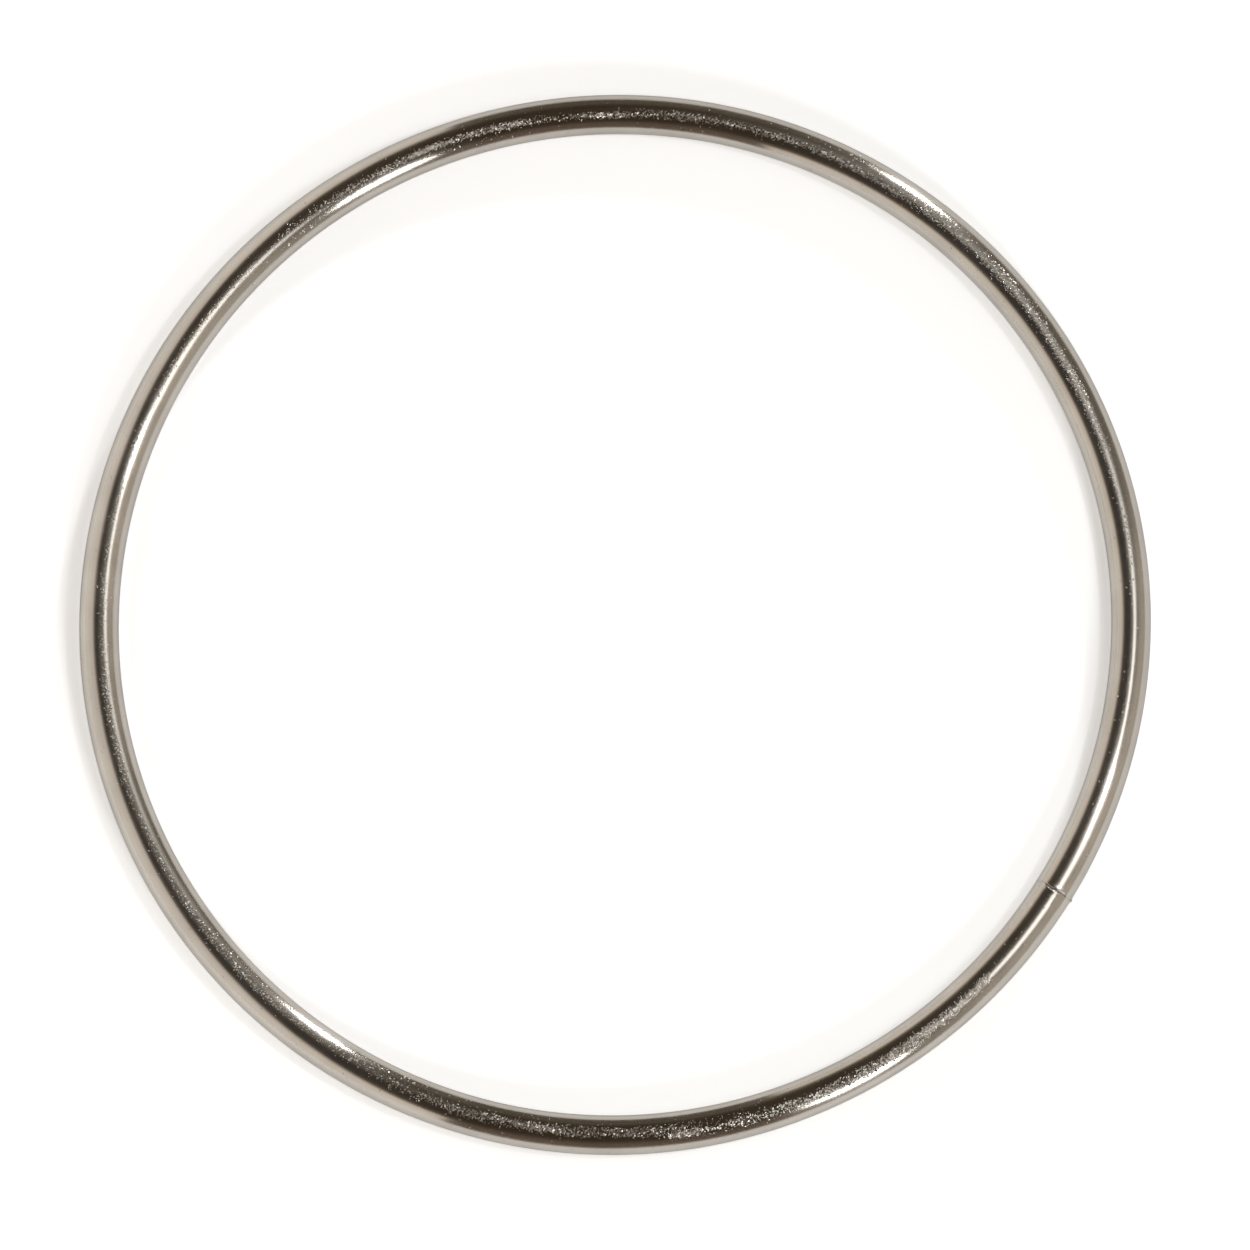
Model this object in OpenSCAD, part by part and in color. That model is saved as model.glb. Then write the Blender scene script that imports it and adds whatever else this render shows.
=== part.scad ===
// Wreath frame: a plain round hoop of bright-plated steel rod, closed by one butt weld.
// It lies flat with its axis along +Z. The origin is the centre of the hoop, halfway up the rod.

/* [Hoop] */
// Clear diameter inside the finished hoop
hoop_inside_d = 100; // [60:1:400]
// Diameter of the finished rod, plating included
rod_d = 4; // [2:0.1:8]

/* [Plating] */
// Thickness of the plating on the rod
plating_t = 0.05; // [0.02:0.01:0.15]

/* [Weld] */
// Where the weld sits on the hoop, in degrees anticlockwise from +X, seen from above
weld_angle = 328; // [0:1:359]
// Thickness of the weld between the rod's ends, along the rod's centre line
weld_t = 0.2; // [0.1:0.05:1]
// Depth of the groove that the weld leaves below the finished surface
groove_depth = 0.12; // [0.05:0.01:0.3]
// How far the trimmed flash stands proud of the finished surface, outside the hoop
flash_proud = 0.12; // [0.02:0.01:0.3]
// Width of the trimmed flash, up and down the outer side of the rod
flash_w = 1.4; // [0.4:0.1:1.8]

/* [Hidden] */
$fn = 96;

rod_r = rod_d / 2;
core_r = rod_r - plating_t;
weld_r = rod_r - groove_depth;
centre_line_r = hoop_inside_d / 2 + rod_r;

// Degrees of the hoop that the weld takes up
weld_sweep = weld_t / centre_line_r * 180 / PI;
rod_sweep = 360 - weld_sweep;

// The flash is a round bead whose section meets the rod's surface across flash_w
flash_rise = rod_r + flash_proud - sqrt(rod_r ^ 2 - (flash_w / 2) ^ 2);
flash_r = ((flash_w / 2) ^ 2 + flash_rise ^ 2) / (2 * flash_rise);
flash_centre = rod_r + flash_proud - flash_r;

// Sweeps a section, drawn round the rod's centre, along the hoop from one angle
module along_hoop(from, sweep) {
    rotate([0, 0, from])
        rotate_extrude(angle = sweep)
            translate([centre_line_r, 0])
                children();
}

// The bent steel rod under the plating, open at the weld, with square-cut ends
module hoop_rod() {
    color("dimgray")
        along_hoop(weld_angle + weld_sweep / 2, rod_sweep)
            circle(r = core_r);
}

// The disc of weld metal between the rod's ends, sunk all round except at its flash
module butt_weld() {
    color("gray")
        along_hoop(weld_angle - weld_sweep / 2, weld_sweep) {
            circle(r = weld_r);
            translate([flash_centre, 0])
                circle(r = flash_r);
        }
}

// The plated skin round the rod, broken at the weld's groove
module nickel_plating() {
    color("silver")
        along_hoop(weld_angle + weld_sweep / 2, rod_sweep)
            difference() {
                circle(r = rod_r);
                circle(r = core_r);
            }
}

hoop_rod();
butt_weld();
nickel_plating();
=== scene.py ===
"""Dress the wreath hoop: one bent steel rod, plated in bright nickel and closed by a butt weld.

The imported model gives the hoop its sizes. The plated skin and the weld are made anew with Geometry
Nodes, because the real ones have dents, a wavy seam and rolled lips that the plain solids leave out.
"""
from __future__ import annotations

import logging
import math
from dataclasses import dataclass
from enum import Enum
from functools import reduce
from typing import Any, Union

import bpy
from mathutils import Matrix, Vector

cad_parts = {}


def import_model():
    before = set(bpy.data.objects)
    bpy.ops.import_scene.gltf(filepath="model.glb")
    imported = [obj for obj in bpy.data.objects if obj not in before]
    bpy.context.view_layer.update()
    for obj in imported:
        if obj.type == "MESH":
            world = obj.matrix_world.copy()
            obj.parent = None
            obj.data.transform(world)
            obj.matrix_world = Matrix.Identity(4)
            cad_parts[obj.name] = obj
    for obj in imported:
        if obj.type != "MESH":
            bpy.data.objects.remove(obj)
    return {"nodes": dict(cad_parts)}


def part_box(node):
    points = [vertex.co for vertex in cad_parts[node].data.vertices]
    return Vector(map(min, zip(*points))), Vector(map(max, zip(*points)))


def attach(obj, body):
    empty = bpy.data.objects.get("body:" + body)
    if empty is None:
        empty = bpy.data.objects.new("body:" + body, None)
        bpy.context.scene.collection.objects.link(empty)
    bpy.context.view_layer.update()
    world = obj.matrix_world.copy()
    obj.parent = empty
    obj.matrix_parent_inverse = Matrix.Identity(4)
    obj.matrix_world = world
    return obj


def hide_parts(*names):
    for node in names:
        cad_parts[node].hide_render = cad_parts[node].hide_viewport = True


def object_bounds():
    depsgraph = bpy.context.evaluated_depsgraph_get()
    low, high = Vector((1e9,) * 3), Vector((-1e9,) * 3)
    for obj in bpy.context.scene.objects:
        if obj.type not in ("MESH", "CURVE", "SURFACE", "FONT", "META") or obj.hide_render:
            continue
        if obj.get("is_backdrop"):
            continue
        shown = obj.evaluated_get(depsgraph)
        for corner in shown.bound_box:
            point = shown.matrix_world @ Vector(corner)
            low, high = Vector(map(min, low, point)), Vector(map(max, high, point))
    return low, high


LOG = logging.getLogger("wreath_hoop")

MM = 0.001
MICRON = 1e-6
BODY = "root"
WHITE_WATTS = 4.0  # for each square metre of a lamp's face that looks white
NOISE_LOW = 0.2
NOISE_HIGH = 0.8
QUARTER_TURN = 0.25

Colour = tuple[float, float, float, float]
Triple = tuple[float, float, float]
Pair = tuple[float, float]
Socket = bpy.types.NodeSocket
Tree = bpy.types.NodeTree
Material = bpy.types.Material
Piece = bpy.types.Object
Feed = Union[Socket, float, int, str, tuple, Material]


class Mark(str, Enum):
    """Names of the attributes that the plated skin carries for its finish."""

    PLACE = "rod_place"
    WEAR = "rod_wear"


class LampShape(str, Enum):
    """Outlines that a studio lamp can have."""

    ROUND = "DISK"
    OBLONG = "RECTANGLE"


class Graph:
    """A node tree under construction, with short calls for the nodes that this file uses."""

    def __init__(self, tree: Tree) -> None:
        """Keep the tree that the calls add to."""
        self.tree = tree

    def node(self, kind: str, feeds: dict[int | str, Feed] | None = None, **options: Any) -> bpy.types.Node:
        """Add a node, set its options and feed its inputs.

        Args:
            kind: Blender's name for the type of node.
            feeds: What each input takes, by the input's index or name.
            options: The node's own settings, such as its operation.

        Returns:
            The new node.
        """
        node = self.tree.nodes.new(kind)
        for name, value in options.items():
            setattr(node, name, value)
        for key, value in (feeds or {}).items():
            self.feed(node.inputs[key], value)
        return node

    def feed(self, socket: Socket, value: Feed) -> None:
        """Link an input to a node's output, or set it.

        Args:
            socket: The input.
            value: The output that it is linked to, or a plain value.
        """
        if isinstance(value, Socket):
            self.tree.links.new(value, socket)
        else:
            socket.default_value = value

    def math(self, operation: str, *feeds: Feed) -> Socket:
        """Work out one sum on its feeds, and return the result."""
        return self.node("ShaderNodeMath", dict(enumerate(feeds)), operation=operation).outputs[0]

    def minus(self, first: Feed, second: Feed) -> Socket:
        """Take the second feed from the first, and return the rest."""
        return self.math("SUBTRACT", first, second)

    def add(self, *feeds: Feed) -> Socket:
        """Add up any number of feeds, from the first on, and return the total."""
        return reduce(lambda total, feed: self.math("ADD", total, feed), feeds)

    def times(self, *feeds: Feed) -> Socket:
        """Multiply any number of feeds, from the first on, and return the product."""
        return reduce(lambda product, feed: self.math("MULTIPLY", product, feed), feeds)

    def ramp(self, value: Feed, start: Feed, end: Feed, low: Feed = 0.0, high: Feed = 1.0,
             soft: bool = False) -> Socket:
        """Map a value to a clamped ramp.

        Args:
            value: What the ramp runs along.
            start: The value where the ramp gives low.
            end: The value where the ramp gives high.
            low: The result at the start and before it.
            high: The result at the end and after it.
            soft: Whether the ramp eases in and out.

        Returns:
            The ramp's result.
        """
        feeds = dict(enumerate((value, start, end, low, high)))
        kind = "SMOOTHSTEP" if soft else "LINEAR"
        return self.node("ShaderNodeMapRange", feeds, interpolation_type=kind, clamp=True).outputs[0]

    def vector(self, x: Feed, y: Feed, z: Feed) -> Socket:
        """Join three values into a vector, and return it."""
        return self.node("ShaderNodeCombineXYZ", {0: x, 1: y, 2: z}).outputs[0]

    def split(self, vector: Socket) -> tuple[Socket, Socket, Socket]:
        """Take a vector apart into its three values, and return them."""
        x, y, z = self.node("ShaderNodeSeparateXYZ", {0: vector}).outputs[:3]
        return x, y, z

    def stretched(self, vector: Socket, factors: Triple) -> Socket:
        """Multiply a vector by one factor for each direction, and return it."""
        return self.node("ShaderNodeVectorMath", {0: vector, 1: factors}, operation="MULTIPLY").outputs[0]

    def noise(self, place: Socket, scale: Feed, detail: float = 2.0, roughness: float = 0.5) -> Socket:
        """Sample a cloud of noise.

        Args:
            place: Where the noise is read.
            scale: How many waves there are to a metre.
            detail: How many finer layers are added.
            roughness: How strong the finer layers are.

        Returns:
            A value that stays around one half.
        """
        feeds = {"Vector": place, "Scale": scale, "Detail": detail, "Roughness": roughness}
        return self.node("ShaderNodeTexNoise", feeds).outputs[0]

    def swing(self, place: Socket, scale: Feed, detail: float = 2.0) -> Socket:
        """Sample noise that swings about zero, from minus one to one, and return it."""
        return self.ramp(self.noise(place, scale, detail), NOISE_LOW, NOISE_HIGH, -1.0, 1.0)

    def mix(self, share: Feed, first: Feed, second: Feed) -> Socket:
        """Mix two colours.

        Args:
            share: How much of the second colour there is, from 0 to 1.
            first: The colour at 0.
            second: The colour at 1.

        Returns:
            The mixed colour.
        """
        node = self.node("ShaderNodeMix", data_type="RGBA")
        for key, value in (("Factor_Float", share), ("A_Color", first), ("B_Color", second)):
            self.feed(next(s for s in node.inputs if s.identifier == key), value)
        return next(s for s in node.outputs if s.identifier == "Result_Color")


class Grower:
    """A Geometry Nodes tree with named inputs, and the mesh that comes of it."""

    def __init__(self, name: str, sizes: dict[str, float | Material]) -> None:
        """Start a tree.

        Args:
            name: What the piece is called.
            sizes: Each named input with its value.
        """
        self.name = name
        self.sizes = sizes
        self.tree = bpy.data.node_groups.new(name, "GeometryNodeTree")
        face = self.tree.interface
        face.new_socket("Geometry", in_out="OUTPUT", socket_type="NodeSocketGeometry")
        for label, value in sizes.items():
            kind = "NodeSocketMaterial" if isinstance(value, Material) else "NodeSocketFloat"
            face.new_socket(label, in_out="INPUT", socket_type=kind)
        self.graph = Graph(self.tree)
        self.inputs = self.tree.nodes.new("NodeGroupInput").outputs

    def size(self, label: str) -> Socket:
        """Return the tree's own socket for one named size."""
        return self.inputs[label]

    def lay_grid(self, rows: int, columns: int) -> tuple[Socket, Socket, Socket]:
        """Lay out a flat grid, to be wrapped round the rod.

        Args:
            rows: How many steps it has along the rod.
            columns: How many steps it has round the rod.

        Returns:
            Each point's row, its angle round the rod, which is 0 at the outside of the hoop, and the grid.
        """
        graph = self.graph
        grid = graph.node("GeometryNodeMeshGrid", {"Size X": 1.0, "Size Y": 1.0, "Vertices X": rows + 1,
                                                   "Vertices Y": columns + 1})
        x, y, _ = graph.split(graph.node("GeometryNodeInputPosition").outputs[0])
        row = graph.times(graph.add(x, 0.5), float(rows))
        turn = graph.times(graph.add(y, 0.5), 2 * math.pi)
        return row, turn, grid.outputs[0]

    def wrap(self, grid: Socket, angle: Socket, radius: Socket, turn: Socket) -> None:
        """Wrap a grid round the rod, merge its edges and poles, realize it and set its material.

        Args:
            grid: The grid.
            angle: Each point's angle round the hoop.
            radius: How far it is from the middle of the rod.
            turn: Its angle round the rod.
        """
        graph = self.graph
        reach = graph.add(self.size("Hoop radius"), graph.times(radius, graph.math("COSINE", turn)))
        spot = graph.vector(graph.times(reach, graph.math("COSINE", angle)),
                            graph.times(reach, graph.math("SINE", angle)),
                            graph.times(radius, graph.math("SINE", turn)))
        moved = graph.node("GeometryNodeSetPosition", {0: grid, "Position": spot})
        merged = graph.node("GeometryNodeMergeByDistance", {0: moved.outputs[0], "Distance": MICRON})
        smooth = graph.node("GeometryNodeSetShadeSmooth", {0: merged.outputs[0]})
        whole = graph.node("GeometryNodeRealizeInstances", {0: smooth.outputs[0]})
        finish = self.size("Finish")
        dressed = graph.node("GeometryNodeSetMaterial", {0: whole.outputs[0], "Material": finish})
        graph.node("NodeGroupOutput", {0: dressed.outputs[0]})

    def grow(self) -> Piece:
        """Run the tree on an empty object.

        Returns:
            An object at the origin that holds the result as a plain mesh.
        """
        piece = bpy.data.objects.new(self.name, bpy.data.meshes.new(self.name))
        bpy.context.scene.collection.objects.link(piece)
        modifier = piece.modifiers.new("grow", "NODES")
        modifier.node_group = self.tree
        for item in self.tree.interface.items_tree:
            if item.in_out == "INPUT":
                modifier[item.identifier] = self.sizes[item.name]
        graph = bpy.context.evaluated_depsgraph_get()
        mesh = bpy.data.meshes.new_from_object(piece.evaluated_get(graph), preserve_all_data_layers=True,
                                               depsgraph=graph)
        piece.modifiers.remove(modifier)
        piece.data = mesh
        mesh.name = self.name
        return piece


@dataclass
class SurfaceEffects:
    """Shader node groups that the metal finishes share. Each is built once.

    A span gives the two values of a noise between which an effect goes from nothing to full.
    """

    pit_span: Pair = (0.58, 0.78)
    grit_slant: float = 0.3
    grit_stretch: float = 0.8
    grit_shuffle: float = 7.0
    scratch_bends: float = 0.6
    scratch_half: float = 0.07
    scratch_span: Pair = (0.47, 0.56)
    scratch_move: Triple = (0.3, 0.1, 0.2)
    line_stretch: Triple = (0.006, 1.0, 1.0)
    cloud_span: Pair = (0.3, 0.7)

    def __post_init__(self) -> None:
        """Build every group."""
        self.dents = self._spots("small_dents", 1.0, self.pit_span)
        self.grit = self._grit()
        self.strokes = self._strokes()
        self.draw_lines = self._draw_lines()
        self.clouds = self._spots("cloudy_patches", 4.0, self.cloud_span)

    @staticmethod
    def _start(name: str, numbers: tuple[str, ...], outputs: tuple[str, ...]) -> tuple[Graph, Any]:
        """Start a group with its named sockets, of which the first is the place where it is read.

        Args:
            name: The group's name.
            numbers: The names of its input values.
            outputs: The names of its output values.

        Returns:
            The graph and its input sockets by name.
        """
        tree = bpy.data.node_groups.new(name, "ShaderNodeTree")
        tree.interface.new_socket("Place", in_out="INPUT", socket_type="NodeSocketVector")
        for side, labels in (("INPUT", numbers), ("OUTPUT", outputs)):
            for label in labels:
                tree.interface.new_socket(label, in_out=side, socket_type="NodeSocketFloat")
        graph = Graph(tree)
        return graph, graph.node("NodeGroupInput").outputs

    @staticmethod
    def _end(graph: Graph, *values: Socket) -> Tree:
        """Close a group with its output values, and return its tree."""
        graph.node("NodeGroupOutput", dict(enumerate(values)))
        return graph.tree

    def _spots(self, name: str, detail: float, span: Pair) -> Tree:
        """Build a group for soft spots from 0 to 1, such as pits or patches.

        Args:
            name: The group's name.
            detail: How many finer layers the noise has.
            span: Where the spots begin and where they are full.

        Returns:
            The group.
        """
        graph, given = self._start(name, ("Scale",), ("Spot",))
        noise = graph.noise(given["Place"], given["Scale"], detail)
        return self._end(graph, graph.ramp(noise, *span, soft=True))

    def _grit(self) -> Tree:
        """Build the group for fine grit: a share of tiny flats, each tilted its own way.

        Returns:
            The group.
        """
        graph, given = self._start("slanted_grit", ("Scale", "Along", "Across", "Share"), ("Height", "Fleck"))
        x, y, z = graph.split(given["Place"])
        slant = graph.vector(graph.add(x, graph.times(y, self.grit_slant)), graph.times(y, self.grit_stretch),
                             graph.times(z, self.grit_stretch))
        cells = graph.node("ShaderNodeTexVoronoi", {"Vector": slant, "Scale": given["Scale"]})
        step = graph.node("ShaderNodeVectorMath", {0: slant, 1: cells.outputs["Position"]},
                          operation="SUBTRACT")
        luck = graph.node("ShaderNodeVectorMath", {0: cells.outputs["Color"], 1: (2.0, 2.0, 2.0),
                                                   2: (-1.0, -1.0, -1.0)}, operation="MULTIPLY_ADD")
        step_x, step_y, step_z = graph.split(step.outputs[0])
        luck_x, luck_y, luck_z = graph.split(luck.outputs[0])
        along = graph.times(step_x, luck_x, given["Along"])
        across = graph.times(graph.add(graph.times(step_y, luck_y), graph.times(step_z, luck_z)),
                             given["Across"])
        draw = graph.math("FRACT", graph.times(graph.add(luck_x, luck_y, luck_z), self.grit_shuffle))
        fleck = graph.math("LESS_THAN", draw, given["Share"])
        return self._end(graph, graph.times(graph.add(along, across), fleck), fleck)

    def _strokes(self) -> Tree:
        """Build the group for short crooked scratches.

        Returns:
            The group.
        """
        graph, given = self._start("short_scratches", ("Scale",), ("Depth",))
        bent = graph.noise(given["Place"], given["Scale"], 2.0, self.scratch_bends)
        line = graph.ramp(graph.math("ABSOLUTE", graph.minus(bent, 0.5)), self.scratch_half, 0.0, soft=True)
        moved = graph.node("ShaderNodeVectorMath", {0: given["Place"], 1: self.scratch_move}, operation="ADD")
        noise = graph.noise(moved.outputs[0], given["Scale"], 1.0)
        return self._end(graph, graph.times(line, graph.ramp(noise, *self.scratch_span, soft=True)))

    def _draw_lines(self) -> Tree:
        """Build the group for the fine lines that drawing leaves along a rod.

        Returns:
            The group.
        """
        graph, given = self._start("draw_lines", ("Scale",), ("Height",))
        along = graph.stretched(given["Place"], self.line_stretch)
        return self._end(graph, graph.swing(along, given["Scale"], 3.0))


@dataclass(frozen=True)
class MetalFinish:
    """A metal surface: its colours, its gloss and the marks on it. Heights are in microns."""

    name: str
    dark: Colour
    light: Colour
    gloss_roughness: float
    worn_roughness: float
    dent_depth: float
    stroke_depth: float
    grain_height: float
    line_height: float
    grit_tilt: Pair = (0.0, 0.0)
    grit_roughness: float = 0.3
    light_grit: float = 0.35
    cloud_roughness: float = 0.015
    plain_shade: float = 0.25
    cloud_shade: float = 0.5
    line_shade: float = 0.35
    across_spread: float = 0.0
    edge_tint: float = 1.0
    dent_scale: float = 2400.0
    stroke_scale: float = 1500.0
    grain_scale: float = 6000.0
    line_scale: float = 4200.0
    grit_scale: float = 9500.0
    cloud_scale: float = 260.0
    on_rod: bool = True

    def build(self, effects: SurfaceEffects) -> Material:
        """Build the material.

        Args:
            effects: The shared node groups.

        Returns:
            The material, with its colour, roughness and bump from nodes.
        """
        material = bpy.data.materials.new(self.name)
        material.use_nodes = True
        graph = Graph(material.node_tree)
        place, wear = self._reads(graph)
        groups = ((effects.clouds, self.cloud_scale), (effects.dents, self.dent_scale),
                  (effects.strokes, self.stroke_scale), (effects.draw_lines, self.line_scale))
        cloud, dents, strokes, lines = (
            graph.node("ShaderNodeGroup", {"Place": place, "Scale": scale}, node_tree=group).outputs[0]
            for group, scale in groups)
        grain = graph.swing(place, self.grain_scale, 1.0)
        along, across = self.grit_tilt
        feeds = {"Place": place, "Scale": self.grit_scale, "Along": along, "Across": across, "Share": wear}
        grit, fleck = graph.node("ShaderNodeGroup", feeds, node_tree=effects.grit).outputs
        smooth = graph.add(self.gloss_roughness,
                           graph.times(wear, self.worn_roughness - self.gloss_roughness),
                           graph.times(cloud, self.cloud_roughness))
        rough = graph.ramp(fleck, 0.0, 1.0, smooth, self.grit_roughness)
        height = graph.add(graph.times(dents, wear, -self.dent_depth),
                           graph.times(strokes, wear, -self.stroke_depth),
                           graph.times(grain, wear, self.grain_height),
                           graph.times(lines, self.line_height),
                           graph.times(grit, graph.ramp(wear, 0.0, 1.0, self.light_grit, 1.0), 1 / MICRON))
        bump = graph.node("ShaderNodeBump", {"Strength": 1.0, "Distance": MICRON, "Height": height})
        tangent = graph.node("ShaderNodeTangent", direction_type="RADIAL", axis="Z")
        shade = graph.add(graph.times(cloud, self.cloud_shade), graph.times(lines, self.line_shade),
                          self.plain_shade)
        shader = material.node_tree.nodes["Principled BSDF"]
        tint = (self.edge_tint, self.edge_tint, self.edge_tint, 1.0)
        looks = {"Metallic": 1.0, "Specular Tint": tint, "Anisotropic": self.across_spread,
                 "Anisotropic Rotation": QUARTER_TURN, "Tangent": tangent.outputs[0],
                 "Base Color": graph.mix(shade, self.dark, self.light), "Roughness": rough,
                 "Normal": bump.outputs[0]}
        for label, value in looks.items():
            graph.feed(shader.inputs[label], value)
        return material

    def _reads(self, graph: Graph) -> tuple[Socket, Socket]:
        """Find where a point lies on the metal and how worn it is.

        Args:
            graph: The material's nodes.

        Returns:
            The place, in metres, and the wear, from 0 to 1.
        """
        if self.on_rod:
            place = graph.node("ShaderNodeAttribute", attribute_name=Mark.PLACE.value).outputs["Vector"]
            wear = graph.node("ShaderNodeAttribute", attribute_name=Mark.WEAR.value).outputs["Fac"]
            return place, wear
        place = graph.node("ShaderNodeTexCoord").outputs["Object"]
        return place, graph.noise(place, self.cloud_scale)


BRIGHT_NICKEL = MetalFinish(
    name="bright_nickel", dark=(0.4, 0.374, 0.336, 1.0), light=(0.49, 0.46, 0.42, 1.0),
    gloss_roughness=0.15, worn_roughness=0.17, dent_depth=1.0, stroke_depth=0.0, grain_height=0.5,
    line_height=0.8, grit_tilt=(0.46, 0.28), grit_roughness=0.36, across_spread=0.93, edge_tint=0.65)
WELD_METAL = MetalFinish(
    name="weld_metal", dark=(0.2, 0.18, 0.155, 1.0), light=(0.36, 0.335, 0.3, 1.0),
    gloss_roughness=0.2, worn_roughness=0.4, dent_depth=12.0, stroke_depth=4.0, grain_height=3.0,
    line_height=0.0, on_rod=False)
ROD_STEEL = MetalFinish(
    name="rod_steel", dark=(0.38, 0.37, 0.36, 1.0), light=(0.5, 0.49, 0.48, 1.0),
    gloss_roughness=0.28, worn_roughness=0.45, dent_depth=4.0, stroke_depth=2.0, grain_height=2.0,
    line_height=2.0, on_rod=False)


@dataclass(frozen=True)
class HoopSizes:
    """The hoop's sizes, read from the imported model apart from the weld's gap, in metres and radians."""

    hoop_r: float
    rod_r: float
    core_r: float
    weld_angle: float
    weld_gap: float = 0.2 * MM

    @classmethod
    def from_frame(cls) -> HoopSizes:
        """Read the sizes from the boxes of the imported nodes.

        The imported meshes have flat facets, so lengths are taken to the nearest 0.05 mm and the
        weld's place to the nearest half degree.

        Returns:
            The hoop's sizes.
        """
        skin_low, skin_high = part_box("nickel_plating")
        core_low, core_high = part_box("hoop_rod")
        weld_low, weld_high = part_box("butt_weld")
        step = 0.05 * MM
        rod_r = round((skin_high[2] - skin_low[2]) / 2 / step) * step
        core_r = round((core_high[2] - core_low[2]) / 2 / step) * step
        outside_r = round((skin_high[0] - skin_low[0]) / 2 / step) * step
        weld_x, weld_y = (weld_low[i] + weld_high[i] for i in (0, 1))
        half_degree = math.radians(0.5)
        weld_steps = round(math.atan2(weld_y, weld_x) / half_degree)
        return cls(outside_r - rod_r, rod_r, core_r, weld_steps * half_degree)

    @property
    def rod_length(self) -> float:
        """Return the length of the rod's centre line, from end to end."""
        return 2 * math.pi * self.hoop_r - self.weld_gap


@dataclass(frozen=True)
class Seam:
    """The wandering line of the weld round the rod."""

    wave: float = 0.08 * MM
    waves_round: int = 6
    crest_deg: float = 63.0
    middle_deg: float = 79.0
    side_share: float = 0.1
    facing_span: Pair = (0.78, 0.95)

    def depth(self, graph: Graph, turn: Socket) -> Socket:
        """Work out how deep the seam is: full on the rod's top and bottom, slight on its sides.

        Args:
            graph: The nodes to add to.
            turn: The angle round the rod, 0 at the outside of the hoop.

        Returns:
            The share of the full depth, from 0 to 1.
        """
        turned = graph.minus(turn, math.radians(self.middle_deg))
        facing = graph.math("ABSOLUTE", graph.math("COSINE", turned))
        return graph.ramp(facing, *self.facing_span, self.side_share, 1.0, soft=True)

    def shift(self, graph: Graph, turn: Socket) -> Socket:
        """Work out how far the seam lies along the rod from its mean place.

        Args:
            graph: The nodes to add to.
            turn: The angle round the rod, 0 at the outside of the hoop.

        Returns:
            The shift, in metres, counter-clockwise along the hoop.
        """
        phase = graph.math("MULTIPLY_ADD", turn, float(self.waves_round),
                           -self.waves_round * math.radians(self.crest_deg))
        return graph.times(graph.math("COSINE", phase), self.wave)


@dataclass(frozen=True)
class Stretch:
    """A worn length of the hoop: its middle, its reach to each side, its fade, its wear and its edges.

    The edges are places across the rod, from minus one at the hoop's inside to one at its outside.
    """

    middle_deg: float
    reach_deg: float
    fade_deg: float
    wear: float
    inner_edge: float
    outer_edge: float
    edge_fade: float = 0.1

    def mask(self, graph: Graph, angle: Socket, across: Socket) -> Socket:
        """Work out the stretch's share of the wear.

        Args:
            graph: The nodes to add to.
            angle: The angle round the hoop.
            across: The place across the rod.

        Returns:
            The wear, from 0 to 1.
        """
        turned = graph.minus(angle, math.radians(self.middle_deg))
        away = graph.math("ARCCOSINE", graph.math("COSINE", turned))
        length = graph.ramp(away, math.radians(self.reach_deg + self.fade_deg),
                            math.radians(self.reach_deg - self.fade_deg), soft=True)
        fade = self.edge_fade
        inside = graph.ramp(across, self.inner_edge - fade, self.inner_edge + fade, soft=True)
        outside = graph.ramp(across, self.outer_edge + fade, self.outer_edge - fade, soft=True)
        return graph.times(length, inside, outside, self.wear)


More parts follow.
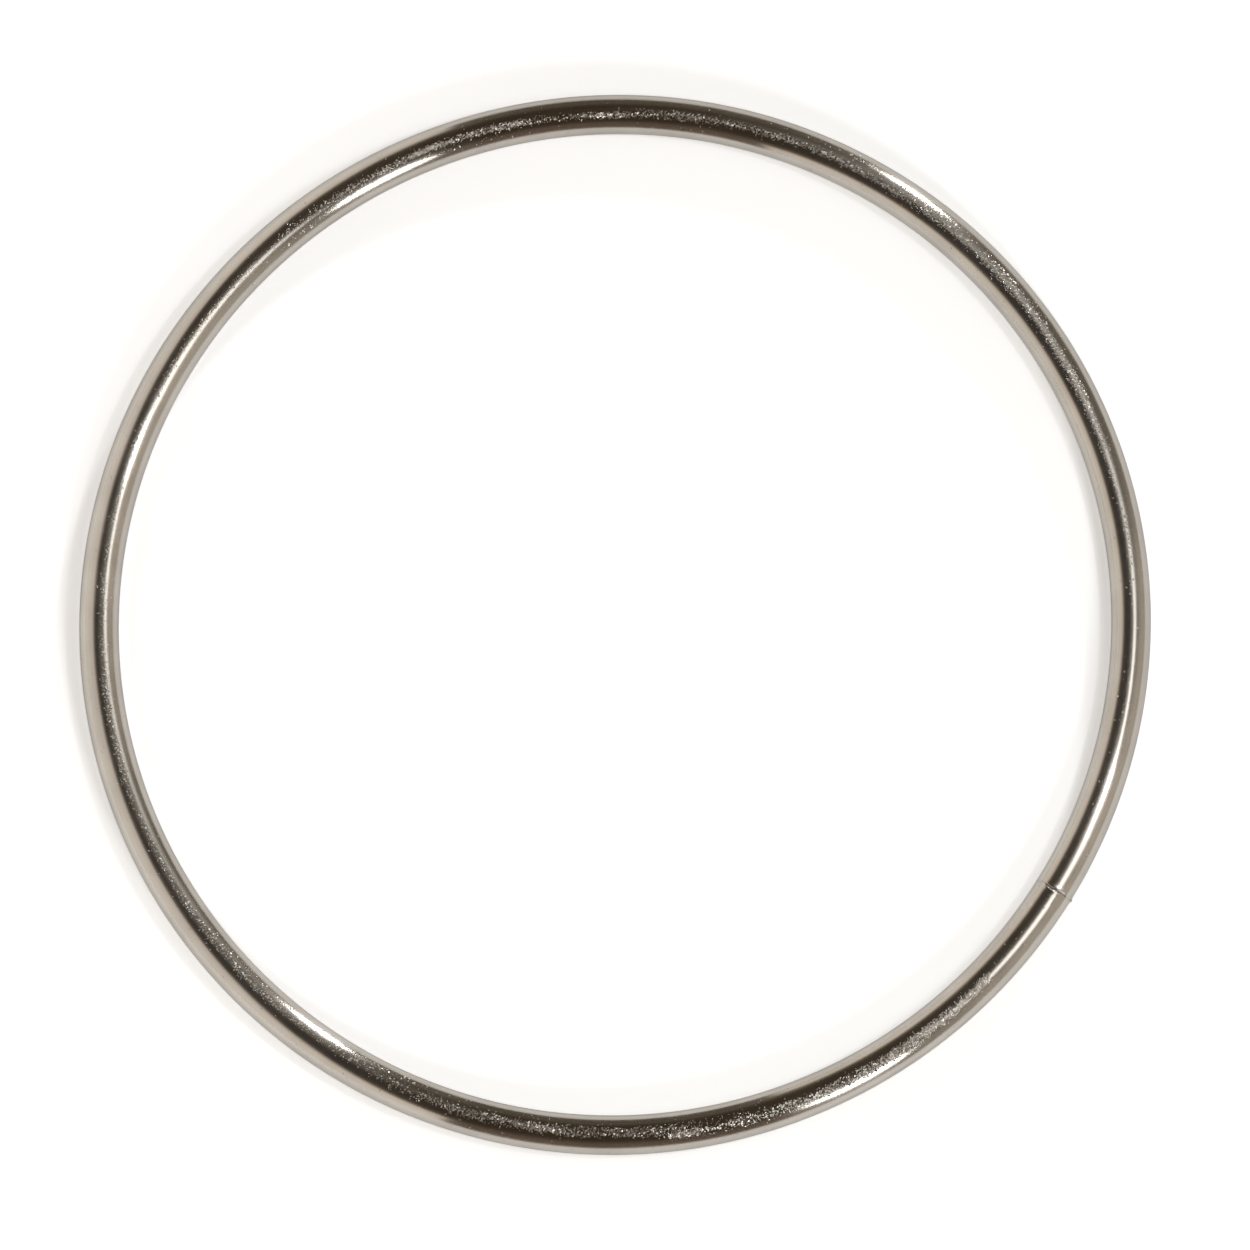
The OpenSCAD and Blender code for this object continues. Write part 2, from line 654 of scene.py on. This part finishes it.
@dataclass
class PlatedSkin:
    """The nickel skin round the rod, with rolled lips at the weld, ripples and dents."""

    sizes: HoopSizes
    seam: Seam
    name: str = "plating_skin"
    columns: int = 60
    end_rows: int = 48
    main_rows: int = 1150
    lip_rows: int = 2
    inner_rows: int = 240
    end_length: float = 1.5 * MM
    seam_fade: float = 1.5 * MM
    lip_width: float = 0.1 * MM
    lip_drop: float = 0.044 * MM
    upset_width: float = 0.5 * MM
    upset_height: float = 0.015 * MM
    ground_depth: float = 0.04 * MM
    ground_length: float = 2.2 * MM
    ground_turn_deg: float = 56.0
    ground_least_tilt: float = 0.2
    ripple_height: float = 1.5 * MICRON
    ripple_scale: float = 350.0
    dent_depth: float = 2.5 * MICRON
    dent_scale: float = 520.0
    dent_span: Pair = (0.56, 0.8)
    unworn_dents: float = 0.15
    full_dents_wear: float = 0.6
    unworn: float = 0.006
    row_stretch: Triple = (0.12, 1.0, 1.0)
    row_scale: float = 1400.0
    row_span: Pair = (0.35, 0.65)
    row_wear: Pair = (0.4, 1.4)
    edge_scale: float = 900.0
    edge_wander: float = 0.1
    patch_scale: float = 350.0
    patch_span: Pair = (0.3, 0.7)
    patch_wear: Pair = (0.6, 1.0)
    stretches: tuple[Stretch, ...] = (
        Stretch(14.0, 9.0, 5.0, 0.42, 0.1, 0.27),
        Stretch(38.0, 19.0, 7.0, 0.62, -0.06, 0.4),
        Stretch(52.0, 14.0, 8.0, 0.4, 0.45, 0.56),
        Stretch(70.0, 16.0, 8.0, 0.85, -0.1, 0.1),
        Stretch(104.0, 22.0, 10.0, 0.82, -0.28, -0.03),
        Stretch(117.0, 12.0, 8.0, 0.4, -0.62, -0.52),
        Stretch(155.0, 32.0, 12.0, 0.35, -0.31, -0.16),
        Stretch(217.0, 34.0, 14.0, 0.36, -0.38, -0.08),
        Stretch(234.0, 14.0, 8.0, 0.4, -0.6, -0.49),
        Stretch(264.0, 18.0, 7.0, 0.62, -0.2, 0.18),
        Stretch(296.0, 20.0, 0.8, 0.88, 0.02, 0.46),
    )

    def build(self, finish: Material) -> Piece:
        """Grow the skin as one closed shell, with its place and wear kept as attributes.

        Args:
            finish: The material of the skin.

        Returns:
            The piece.
        """
        grower = Grower(self.name, {
            "Hoop radius": self.sizes.hoop_r, "Rod radius": self.sizes.rod_r,
            "Skin": self.sizes.rod_r - self.sizes.core_r, "Weld angle": self.sizes.weld_angle,
            "Weld gap": self.sizes.weld_gap, "Length": self.sizes.rod_length,
            "Ripple": self.ripple_height, "Dent": self.dent_depth, "Finish": finish})
        graph = grower.graph
        along, turn, deep, grid = self._unroll(grower)
        to_end = graph.math("MINIMUM", along, graph.minus(grower.size("Length"), along))
        near_end = graph.ramp(to_end, self.seam_fade, 0.0, soft=True)
        closed = graph.minus(1.0, self.seam.depth(graph, turn))
        toward = graph.ramp(graph.minus(along, to_end), 0.0, MM, -1.0, 1.0)
        film = graph.times(closed, toward, grower.size("Weld gap"), 0.5)
        along = graph.add(along, graph.times(graph.add(self.seam.shift(graph, turn), film), near_end))
        angle = graph.add(grower.size("Weld angle"),
                          graph.math("DIVIDE",
                                     graph.add(along, graph.times(grower.size("Weld gap"), 0.5)),
                                     grower.size("Hoop radius")))
        across, up = graph.math("COSINE", turn), graph.math("SINE", turn)
        rod = grower.size("Rod radius")
        place = graph.vector(along, graph.times(across, rod), graph.times(up, rod))
        wear = self._wear(graph, angle, across, place)
        outer = self._outer_radius(grower, place, along, to_end, turn, wear)
        inner = graph.minus(rod, grower.size("Skin"))
        radius = graph.add(graph.times(outer, graph.minus(1.0, deep)), graph.times(inner, deep))
        for mark, kind, value in ((Mark.PLACE, "FLOAT_VECTOR", place), (Mark.WEAR, "FLOAT", wear)):
            feeds = {0: grid, "Name": mark.value, "Value": value}
            grid = graph.node("GeometryNodeStoreNamedAttribute", feeds, data_type=kind).outputs[0]
        grower.wrap(grid, angle, radius, turn)
        return grower.grow()

    def _unroll(self, grower: Grower) -> tuple[Socket, Socket, Socket, Socket]:
        """Lay out a flat grid whose rows run along the outside, round a lip, back inside and out.

        Args:
            grower: The tree.

        Returns:
            The length along the rod, the angle round it, the depth in the skin from 0 to 1, and the
            grid itself.
        """
        graph = grower.graph
        counts = (self.end_rows, self.main_rows, self.end_rows, self.lip_rows, self.inner_rows, self.lip_rows)
        row, turn, grid = grower.lay_grid(sum(counts), self.columns)
        steps = []
        start = 0
        for count in counts:
            steps.append(graph.ramp(row, float(start), float(start + count)))
            start += count
        near_end, main_run, far_end, far_lip, inside, near_lip = steps
        length = grower.size("Length")
        middle = graph.minus(length, 2 * self.end_length)
        along = graph.add(graph.times(near_end, self.end_length), graph.times(main_run, middle),
                          graph.times(far_end, self.end_length), graph.times(inside, length, -1.0))
        return along, turn, graph.minus(far_lip, near_lip), grid

    def _wear(self, graph: Graph, angle: Socket, across: Socket, place: Socket) -> Socket:
        """Work out how worn the skin is: its worn stretches, in patches and in rows along the rod.

        Args:
            graph: The nodes to add to.
            angle: The angle round the hoop.
            across: How far out on the rod, from minus one at the inside to one at the outside.
            place: The place on the rod.

        Returns:
            The wear, from 0 to 1.
        """
        rows = graph.stretched(place, self.row_stretch)
        ragged = graph.add(across, graph.times(graph.swing(rows, self.edge_scale), self.edge_wander))
        wear: Feed = self.unworn
        for stretch in self.stretches:
            wear = graph.math("MAXIMUM", wear, stretch.mask(graph, angle, ragged))
        patches = graph.ramp(graph.noise(place, self.patch_scale), *self.patch_span, *self.patch_wear)
        lines = graph.ramp(graph.noise(rows, self.row_scale), *self.row_span, *self.row_wear)
        return graph.times(wear, graph.times(patches, lines))

    def _outer_radius(self, grower: Grower, place: Socket, along: Socket, to_end: Socket, turn: Socket,
                      wear: Socket) -> Socket:
        """Work out the radius of the skin's outside with all its relief.

        Args:
            grower: The tree.
            place: The place on the rod.
            along: The length along the rod.
            to_end: The length to the nearer end.
            turn: The angle round the rod.
            wear: How worn the skin is there.

        Returns:
            The radius.
        """
        graph = grower.graph
        rod = grower.size("Rod radius")
        from_far_end = graph.minus(grower.size("Length"), along)
        ground = graph.times(graph.ramp(from_far_end, self.ground_length, self.ground_length / 2, soft=True),
                             self.ground_depth)
        tilt = graph.math("COSINE", graph.minus(turn, math.radians(self.ground_turn_deg)))
        tilt = graph.math("MAXIMUM", tilt, self.ground_least_tilt)
        base = graph.math("MINIMUM", rod, graph.math("DIVIDE", graph.minus(rod, ground), tilt))
        upset = graph.times(graph.ramp(to_end, self.upset_width, self.lip_width, soft=True),
                            self.upset_height)
        rolled = graph.ramp(to_end, self.lip_width, 0.0)
        lip = graph.minus(1.0, graph.math("SQRT", graph.minus(1.0, graph.times(rolled, rolled))))
        drop = graph.times(lip, self.seam.depth(graph, turn), -self.lip_drop)
        ripple = graph.times(graph.swing(place, self.ripple_scale), grower.size("Ripple"))
        bowl = graph.ramp(graph.noise(place, self.dent_scale, 1.0), *self.dent_span, soft=True)
        share = graph.ramp(wear, 0.0, self.full_dents_wear, self.unworn_dents, 1.0)
        dent = graph.times(bowl, share, grower.size("Dent"), -1.0)
        return graph.add(base, upset, drop, ripple, dent)


@dataclass
class WeldBead:
    """The weld between the rod's ends: sunk all round, with a trimmed flash outside the hoop."""

    sizes: HoopSizes
    seam: Seam
    name: str = "weld_bead"
    columns: int = 120
    face_rows: int = 6
    rim_rows: int = 8
    groove_depth: float = 0.1 * MM
    crown: float = -0.06 * MM
    flash_proud: float = 0.12 * MM
    flash_half_deg: float = 22.0
    lumps: float = 0.01 * MM
    lump_scale: float = 2400.0

    def build(self, finish: Material) -> Piece:
        """Grow the weld as a thin closed disc that follows the seam.

        Args:
            finish: The material of the weld.

        Returns:
            The piece.
        """
        grower = Grower(self.name, {
            "Hoop radius": self.sizes.hoop_r, "Rod radius": self.sizes.rod_r,
            "Weld angle": self.sizes.weld_angle, "Weld gap": self.sizes.weld_gap,
            "Groove": self.groove_depth, "Flash": self.flash_proud, "Finish": finish})
        graph = grower.graph
        rows = 2 * self.face_rows + self.rim_rows
        row, turn, grid = grower.lay_grid(rows, self.columns)
        out = graph.ramp(row, 0.0, float(self.face_rows))
        over = graph.ramp(row, float(self.face_rows), float(rows - self.face_rows), -1.0, 1.0)
        back = graph.ramp(row, float(rows - self.face_rows), float(rows))
        share = graph.minus(out, back)
        rod = grower.size("Rod radius")
        place = graph.vector(graph.times(over, self.sizes.weld_gap / 2),
                             graph.times(graph.math("COSINE", turn), rod),
                             graph.times(graph.math("SINE", turn), rod))
        radius = graph.times(share, self._rim(grower, place, turn, over))
        shift = graph.times(self.seam.shift(graph, turn), share)
        along = graph.add(graph.times(over, grower.size("Weld gap"), 0.5), shift)
        angle = graph.add(grower.size("Weld angle"), graph.math("DIVIDE", along, grower.size("Hoop radius")))
        grower.wrap(grid, angle, radius, turn)
        return grower.grow()

    def _rim(self, grower: Grower, place: Socket, turn: Socket, over: Socket) -> Socket:
        """Work out the radius of the weld's rim.

        Args:
            grower: The tree.
            place: The place on the rim.
            turn: The angle round the rod.
            over: Where the rim is crossed, from minus one to one.

        Returns:
            The radius.
        """
        graph = grower.graph
        away = graph.math("ARCCOSINE", graph.math("COSINE", turn))
        flash = graph.ramp(away, math.radians(self.flash_half_deg), 0.0, soft=True)
        proud = graph.times(flash, graph.add(grower.size("Groove"), grower.size("Flash")))
        crown = graph.times(graph.minus(1.0, graph.times(over, over)), self.crown)
        lumps = graph.times(graph.swing(place, self.lump_scale), self.lumps)
        relief = graph.times(graph.add(crown, lumps), self.seam.depth(graph, turn))
        sunk = graph.minus(relief, grower.size("Groove"))
        return graph.add(grower.size("Rod radius"), sunk, proud)


def direction(azimuth_deg: float, height_deg: float) -> Vector:
    """Find the way from the hoop to something above the floor.

    Args:
        azimuth_deg: Where it stands round the hoop, anticlockwise from +X.
        height_deg: How high it stands above the floor.

    Returns:
        A vector of length one.
    """
    azimuth, height = math.radians(azimuth_deg), math.radians(height_deg)
    return Vector((math.cos(azimuth) * math.cos(height), math.sin(azimuth) * math.cos(height),
                   math.sin(height)))


def put(data: bpy.types.ID, place: Vector, axes: tuple[Vector, Vector, Vector]) -> Piece:
    """Put a light or a camera in the scene.

    Args:
        data: The light or the camera.
        place: Where it goes.
        axes: The directions of its own x, y and z.

    Returns:
        Its object.
    """
    item = bpy.data.objects.new(data.name, data)
    item.location = place
    item.rotation_euler = Matrix(axes).transposed().to_euler()
    bpy.context.scene.collection.objects.link(item)
    return item


class AreaLight:
    """An area light under construction, sized in metres and lit by its own brightness."""

    def __init__(self, name: str, shape: LampShape, wide: float, tall: float, brightness: float) -> None:
        """Make the light.

        Args:
            name: What the light is called.
            shape: Its outline.
            wide: Its width, or its diameter if it is round.
            tall: Its height, which a round light doesn't use.
            brightness: How bright its face looks, where 1 is white.
        """
        self.data = bpy.data.lights.new(name, "AREA")
        self.data.shape = shape.value
        self.data.size = wide
        area = math.pi * wide * wide / 4
        if shape is LampShape.OBLONG:
            self.data.size_y = tall
            area = wide * tall
        self.data.energy = brightness * area * WHITE_WATTS
        self.data.use_nodes = True
        self.graph = Graph(self.data.node_tree)
        self.looks = self.data.node_tree.nodes["Emission"].inputs

    def across(self) -> tuple[Socket, Socket]:
        """Return the place on the light's face, from 0 to 1 along its width and its height."""
        u, v, _ = self.graph.split(self.graph.node("ShaderNodeNewGeometry").outputs["Parametric"])
        return u, v

    def hang(self, place: Vector, away: Vector, along: Vector) -> None:
        """Put the light in the scene.

        Args:
            place: Where its middle is.
            away: The direction that its back looks to.
            along: The direction of its width, roughly.
        """
        back = away.normalized()
        side = (along - back * along.dot(back)).normalized()
        light = put(self.data, place, (side, back.cross(side), back))
        LOG.info("light %s", light.name)


@dataclass(frozen=True)
class Lamp:
    """A round lamp: where it hangs as seen from the hoop, how wide it looks and how much light it sends."""

    name: str
    azimuth_deg: float
    height_deg: float
    distance: float
    width_deg: float
    light: float

    def hang(self) -> None:
        """Make the lamp and turn it to the hoop."""
        half = math.radians(self.width_deg) / 2
        toward = direction(self.azimuth_deg, self.height_deg)
        wide = 2 * self.distance * math.tan(half)
        light = AreaLight(self.name, LampShape.ROUND, wide, wide, self.light / (math.pi * half * half))
        light.hang(toward * self.distance, toward, Vector((0.0, 0.0, 1.0)))


@dataclass(frozen=True)
class TubeLamp:
    """A straight strip lamp between two points, in metres from the hoop's centre, dimmer near its start."""

    name: str
    start: Triple
    end: Triple
    wide: float
    brightness: float
    start_share: float
    fade: float

    def hang(self) -> None:
        """Make the strip and turn its face to the hoop."""
        start, end = Vector(self.start), Vector(self.end)
        along = end - start
        middle = (start + end) / 2
        light = AreaLight(self.name, LampShape.OBLONG, along.length, self.wide, self.brightness)
        far, _ = light.across()
        share = light.graph.ramp(far, 0.0, self.fade, self.start_share, 1.0, soft=True)
        light.graph.feed(light.looks["Strength"], share)
        line = along.normalized()
        light.hang(middle, middle - line * middle.dot(line), along)


@dataclass(frozen=True)
class Reflector:
    """A white card that stands on the floor at the left of the hoop and throws light back on it."""

    name: str = "left_card"
    x: float = -0.188
    y_low: float = -0.43
    y_high: float = 0.578
    tall: float = 0.30
    top_fade: float = 0.3
    brightness: float = 0.75
    white: Colour = (1.0, 0.965, 0.925, 1.0)
    warm: Colour = (1.0, 0.84, 0.68, 1.0)

    def stand(self, floor_height: float) -> None:
        """Make the card as two dim area lights, back to back.

        Args:
            floor_height: Where its lower edge is.
        """
        middle = Vector((self.x, (self.y_low + self.y_high) / 2, floor_height + self.tall / 2))
        for name, back in ((self.name, -1.0), (f"{self.name}_back", 1.0)):
            light = AreaLight(name, LampShape.OBLONG, self.y_high - self.y_low, self.tall, self.brightness)
            graph = light.graph
            _, up = light.across()
            graph.feed(light.looks["Strength"], graph.ramp(up, 1.0, 1.0 - self.top_fade, soft=True))
            upper = graph.ramp(up, 1.0 - 2 * self.top_fade, 1.0)
            graph.feed(light.looks["Color"], graph.mix(upper, self.white, self.warm))
            light.hang(middle, Vector((back, 0.0, 0.0)), Vector((0.0, back, 0.0)))


@dataclass(frozen=True)
class Room:
    """The room round the hoop, painted by direction as x to the right, y to the back and z up.

    A span gives the two values of a direction between which a wall goes from nothing to full.
    """

    dark: Colour = (0.068, 0.047, 0.028, 1.0)
    brown: Colour = (0.22, 0.19, 0.15, 1.0)
    brown_z: Pair = (0.75, 0.4)
    back_y: Pair = (0.8, 1.0)
    back_brown: float = 0.3
    red: Colour = (0.2, 0.13, 0.095, 1.0)
    red_y: Pair = (-0.75, -0.95)
    red_z: Pair = (0.65, 0.3)
    side_wall: Colour = (0.68, 0.61, 0.52, 1.0)
    side_way: Pair = (0.974, -0.225)
    side_turn: Pair = (0.7, 0.97)
    side_z: Pair = (0.85, 0.6)
    ceiling: Colour = (0.25, 0.24, 0.22, 1.0)
    ceiling_way: Triple = (0.41, 0.295, 0.862)
    ceiling_turn: Pair = (0.86, 0.99)
    blue: Colour = (0.05, 0.056, 0.064, 1.0)
    blue_x: Pair = (-0.05, -0.35)
    blue_z: Pair = (0.86, 0.94)
    least_level: float = 0.001

    def paint(self) -> None:
        """Paint brown walls, red in front and pale at the right, and a ceiling, bluish at the left."""
        world = bpy.data.worlds.new("room")
        bpy.context.scene.world = world
        world.use_nodes = True
        world.node_tree.nodes.clear()
        graph = Graph(world.node_tree)
        x, y, z = graph.split(graph.node("ShaderNodeTexCoord").outputs["Generated"])
        low = graph.ramp(z, *self.brown_z, soft=True)
        back = graph.ramp(y, *self.back_y, 1.0, self.back_brown)
        room = graph.mix(graph.times(low, back), self.dark, self.brown)
        front = graph.times(graph.ramp(y, *self.red_y, soft=True), graph.ramp(z, *self.red_z, soft=True))
        room = graph.mix(front, room, self.red)
        level = graph.math("SQRT", graph.add(graph.times(x, x), graph.times(y, y), self.least_level))
        sideways = graph.add(*(graph.times(part, way) for part, way in zip((x, y), self.side_way)))
        toward = graph.math("DIVIDE", sideways, level)
        right = graph.times(graph.ramp(z, *self.side_z, soft=True),
                            graph.ramp(toward, *self.side_turn, soft=True))
        room = graph.mix(right, room, self.side_wall)
        above = graph.add(*(graph.times(part, way) for part, way in zip((x, y, z), self.ceiling_way)))
        room = graph.mix(graph.ramp(above, *self.ceiling_turn, soft=True), room, self.ceiling)
        left = graph.times(graph.ramp(x, *self.blue_x, soft=True), graph.ramp(z, *self.blue_z, soft=True))
        room = graph.mix(left, room, self.blue)
        shade = graph.node("ShaderNodeBackground", {"Color": room, "Strength": 1.0})
        graph.node("ShaderNodeOutputWorld", {"Surface": shade.outputs[0]})


@dataclass
class Studio:
    """The white floor, the room round it, the card and the lamps."""

    floor_half: float = 6.0
    floor_white: Colour = (0.95, 0.965, 0.98, 1.0)
    floor_glow: float = 0.34
    room: Room = Room()
    card: Reflector = Reflector()
    lamps: tuple[Lamp | TubeLamp, ...] = (
        Lamp("main_lamp", 355.5, 61.0, 1.0, 2.5, 0.22),
        Lamp("back_lamp", 62.6, 22.3, 1.2, 6.0, 0.68),
        Lamp("front_lamp", 299.7, 33.0, 1.2, 12.0, 0.72),
        TubeLamp("near_strip", (0.042, 0.1, 0.048), (0.304, -0.025, 0.516), 0.07, 3.0, 0.02, 0.72),
        TubeLamp("far_strip", (0.75, -0.95, 2.3), (0.33, -0.04, 0.57), 0.32, 2.3, 0.03, 0.8),
    )

    def build(self, floor_height: float) -> None:
        """Set up the floor, the room, the card and the lamps.

        Args:
            floor_height: Where the hoop's lowest point is.
        """
        self._floor(floor_height)
        self.room.paint()
        self.card.stand(floor_height)
        for lamp in self.lamps:
            lamp.hang()

    def _floor(self, height: float) -> None:
        """Lay the floor.

        Args:
            height: The floor's height.
        """
        half = self.floor_half
        corners = [(x * half, y * half, height) for x, y in ((-1, -1), (1, -1), (1, 1), (-1, 1))]
        mesh = bpy.data.meshes.new("floor")
        mesh.from_pydata(corners, [], [(0, 1, 2, 3)])
        floor = bpy.data.objects.new("floor", mesh)
        bpy.context.scene.collection.objects.link(floor)
        mesh.materials.append(self._floor_finish())
        floor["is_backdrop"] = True

    def _floor_finish(self) -> Material:
        """Build the floor's white paper, which is fully white where no shadow lies.

        Returns:
            The material.
        """
        material = bpy.data.materials.new("white_paper")
        material.use_nodes = True
        material.node_tree.nodes.clear()
        graph = Graph(material.node_tree)
        paper = graph.node("ShaderNodeBsdfDiffuse", {"Color": self.floor_white})
        path = graph.node("ShaderNodeLightPath").outputs
        seen = graph.math("MAXIMUM", path["Is Camera Ray"],
                          graph.math("MAXIMUM", path["Is Glossy Ray"], path["Is Transmission Ray"]))
        glow = graph.node("ShaderNodeEmission", {"Strength": graph.times(seen, self.floor_glow)})
        both = graph.node("ShaderNodeAddShader", {0: paper.outputs[0], 1: glow.outputs[0]})
        graph.node("ShaderNodeOutputMaterial", {"Surface": both.outputs[0]})
        return material


@dataclass(frozen=True)
class PhotoView:
    """The camera: almost straight above the hoop, through a long lens."""

    height_deg: float = 80.65
    heading_deg: float = 286.7
    lens_mm: float = 600.0
    sensor_mm: float = 36.0
    picture_px: float = 1250.0
    hoop_px: float = 1033.2
    centre_px: Pair = (614.5, 622.9)

    def build(self, sizes: HoopSizes) -> None:
        """Set up the camera.

        Args:
            sizes: The hoop's sizes, which give the picture its scale.
        """
        back = direction(self.heading_deg, self.height_deg)
        up = (Vector((0.0, 1.0, 0.0)) - back * back.y).normalized()
        picture_width = 2 * sizes.hoop_r * self.picture_px / self.hoop_px
        data = bpy.data.cameras.new("photo_view")
        data.lens = self.lens_mm
        data.sensor_width = self.sensor_mm
        data.shift_x = 0.5 - self.centre_px[0] / self.picture_px
        data.shift_y = self.centre_px[1] / self.picture_px - 0.5
        distance = picture_width * self.lens_mm / self.sensor_mm
        bpy.context.scene.camera = put(data, back * distance, (up.cross(back), up, back))


@dataclass
class RodCore:
    """The steel rod inside the skin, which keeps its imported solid."""

    node: Piece

    def dress(self, finish: Material) -> None:
        """Give the rod its finish.

        Args:
            finish: The rod's material.
        """
        self.node.data.materials.clear()
        self.node.data.materials.append(finish)


def main() -> None:
    """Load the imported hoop, dress it, light it and note its size."""
    logging.basicConfig(level=logging.INFO, format="%(name)s: %(message)s")
    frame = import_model()
    solid_low, solid_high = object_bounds()
    bpy.context.scene.view_settings.view_transform = "Standard"
    sizes = HoopSizes.from_frame()
    LOG.info("sizes %s", sizes)
    PhotoView().build(sizes)
    Studio().build(solid_low[2])

    effects = SurfaceEffects()
    seam = Seam()
    RodCore(frame["nodes"]["hoop_rod"]).dress(ROD_STEEL.build(effects))
    LOG.info("piece hoop_rod keeps its solid")

    skin = PlatedSkin(sizes, seam).build(BRIGHT_NICKEL.build(effects))
    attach(skin, BODY)
    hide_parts("nickel_plating")
    LOG.info("piece %s has %d faces", skin.name, len(skin.data.polygons))

    weld = WeldBead(sizes, seam).build(WELD_METAL.build(effects))
    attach(weld, BODY)
    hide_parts("butt_weld")
    LOG.info("piece %s has %d faces", weld.name, len(weld.data.polygons))


if __name__ == "__main__":
    main()
